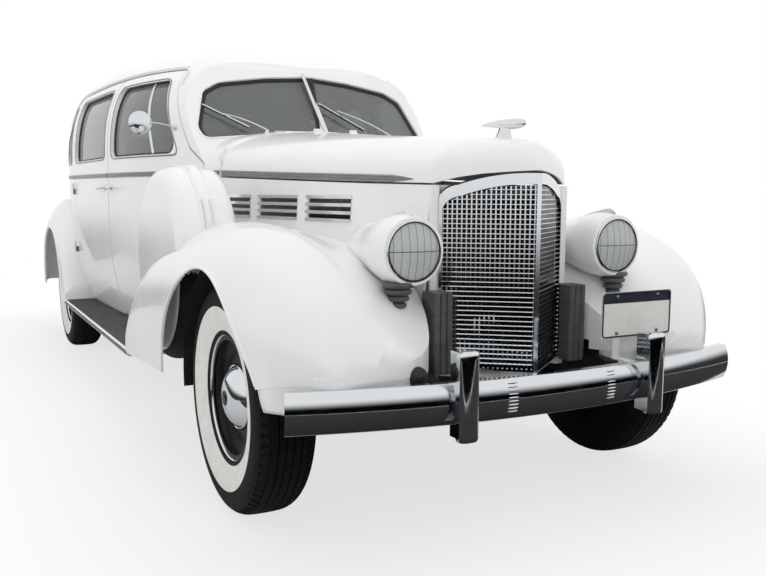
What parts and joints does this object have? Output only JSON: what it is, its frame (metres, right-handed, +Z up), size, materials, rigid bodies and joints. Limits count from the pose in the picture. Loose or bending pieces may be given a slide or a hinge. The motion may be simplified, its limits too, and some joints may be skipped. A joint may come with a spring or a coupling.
{
  "type": "vintage sedan",
  "caption": "Vintage limousine-type sedan with separate fenders, V-shaped egg-crate grille, side-mounted spare covers, opening doors, hood and boot lid, rolling and steering wheels.",
  "frame": {"origin": "on the ground under the middle of the car", "axes": "+Z up, -Y to the front of the car, +X to its left side"},
  "size_m": [1.9352, 5.6, 1.8456],
  "materials": {
    "white_paint": "glossy white enamel",
    "black_paint": "black chassis paint",
    "engine_enamel": "grey-green engine enamel",
    "bright_chrome": "polished chrome plate",
    "dark_trim": "dark ribbed trim",
    "window_glass": "clear glass",
    "tyre_rubber": "black rubber with white sidewall",
    "ribbed_rubber": "ribbed rubber mat on steel",
    "steel": "dull steel",
    "plate_enamel": "blank enamelled plate",
    "tail_glass": "red lamp glass",
    "seat_cloth": "grey-brown broadcloth"
  },
  "bodies": {
    "chassis": {"body_sills": "white_paint", "chassis_frame": "black_paint", "cowl": "white_paint", "dashboard": "dark_trim", "engine": "engine_enamel", "exhaust": "steel", "floor_pan": "black_paint", "front_bumper": "bright_chrome", "front_fenders": "white_paint", "front_seat": "seat_cloth", "front_suspension": "black_paint", "fuel_tank": "black_paint", "grille": "bright_chrome", "grille_side_mouldings": "dark_trim", "grille_surround": "bright_chrome", "headlamp_brackets": "dark_trim", "headlamp_lenses": "window_glass", "headlamp_shells": "white_paint", "hood_sides": "white_paint", "louvre_bars": "bright_chrome", "nose": "white_paint", "number_plate": "plate_enamel", "propeller_shaft": "black_paint", "radiator_core": "black_paint", "rear_axle": "black_paint", "rear_body": "white_paint", "rear_bumper": "bright_chrome", "rear_fenders": "white_paint", "rear_glass": "window_glass", "rear_seat": "seat_cloth", "roof": "white_paint", "running_boards": "ribbed_rubber", "spare_covers": "white_paint", "steering_wheel": "dark_trim", "tail_lamps": "tail_glass", "windscreen_glass": "window_glass"},
    "hood": {"hood": "white_paint", "hood_ornament": "bright_chrome"},
    "boot_lid": {"boot_lid": "white_paint"},
    "front_door_left": {"front_door_left": "white_paint", "front_door_glass_left": "window_glass"},
    "wheel_front_left": {"wheel_front_left": "white_paint", "tyre_front_left": "tyre_rubber"},
    "front_door_right": {"front_door_right": "white_paint", "front_door_glass_right": "window_glass"},
    "wheel_front_right": {"wheel_front_right": "white_paint", "tyre_front_right": "tyre_rubber"},
    "rear_door_left": {"rear_door_left": "white_paint", "rear_door_glass_left": "window_glass"},
    "wheel_rear_left": {"wheel_rear_left": "white_paint", "tyre_rear_left": "tyre_rubber"},
    "rear_door_right": {"rear_door_right": "white_paint", "rear_door_glass_right": "window_glass"},
    "wheel_rear_right": {"wheel_rear_right": "white_paint", "tyre_rear_right": "tyre_rubber"},
    "knuckle_left": {"knuckle_left": "black_paint"},
    "knuckle_right": {"knuckle_right": "black_paint"}
  },
  "joints": [
    {"name": "steering_left", "type": "hinge", "parent": "chassis", "child": "knuckle_left", "pos_m": [0.716, -2.078, 0.39], "axis": [0, 0, 1], "range_deg": [-30, 30]},
    {"name": "steering_right", "type": "hinge", "parent": "chassis", "child": "knuckle_right", "pos_m": [-0.716, -2.078, 0.39], "axis": [0, 0, 1], "range_deg": [-30, 30]},
    {"name": "roll_front_left", "type": "hinge", "parent": "knuckle_left", "child": "wheel_front_left", "pos_m": [0.766, -2.078, 0.39], "axis": [1, 0, 0], "continuous": true},
    {"name": "roll_rear_left", "type": "hinge", "parent": "chassis", "child": "wheel_rear_left", "pos_m": [0.783, 1.51, 0.39], "axis": [1, 0, 0], "continuous": true},
    {"name": "front_door_left_hinge", "type": "hinge", "parent": "chassis", "child": "front_door_left", "pos_m": [0.608, -0.966, 0.9], "axis": [0, 0, -1], "range_deg": [0, 50]},
    {"name": "rear_door_left_hinge", "type": "hinge", "parent": "chassis", "child": "rear_door_left", "pos_m": [0.882, 0.956, 0.9], "axis": [0, 0, 1], "range_deg": [0, 60]},
    {"name": "roll_front_right", "type": "hinge", "parent": "knuckle_right", "child": "wheel_front_right", "pos_m": [-0.766, -2.078, 0.39], "axis": [1, 0, 0], "continuous": true},
    {"name": "roll_rear_right", "type": "hinge", "parent": "chassis", "child": "wheel_rear_right", "pos_m": [-0.783, 1.51, 0.39], "axis": [1, 0, 0], "continuous": true},
    {"name": "front_door_right_hinge", "type": "hinge", "parent": "chassis", "child": "front_door_right", "pos_m": [-0.608, -0.966, 0.9], "axis": [0, 0, 1], "range_deg": [0, 50]},
    {"name": "rear_door_right_hinge", "type": "hinge", "parent": "chassis", "child": "rear_door_right", "pos_m": [-0.882, 0.956, 0.9], "axis": [0, 0, -1], "range_deg": [0, 60]},
    {"name": "hood_hinge", "type": "hinge", "parent": "chassis", "child": "hood", "pos_m": [0, -1.092, 1.352], "axis": [-1, 0, 0], "range_deg": [0, 45]},
    {"name": "boot_lid_hinge", "type": "hinge", "parent": "chassis", "child": "boot_lid", "pos_m": [0, 2.377, 1.286], "axis": [1, 0, 0], "range_deg": [0, 65]}
  ],
  "couplings": [
    {"joint": "steering_right", "follows": "steering_left", "ratio": 1}
  ]
}
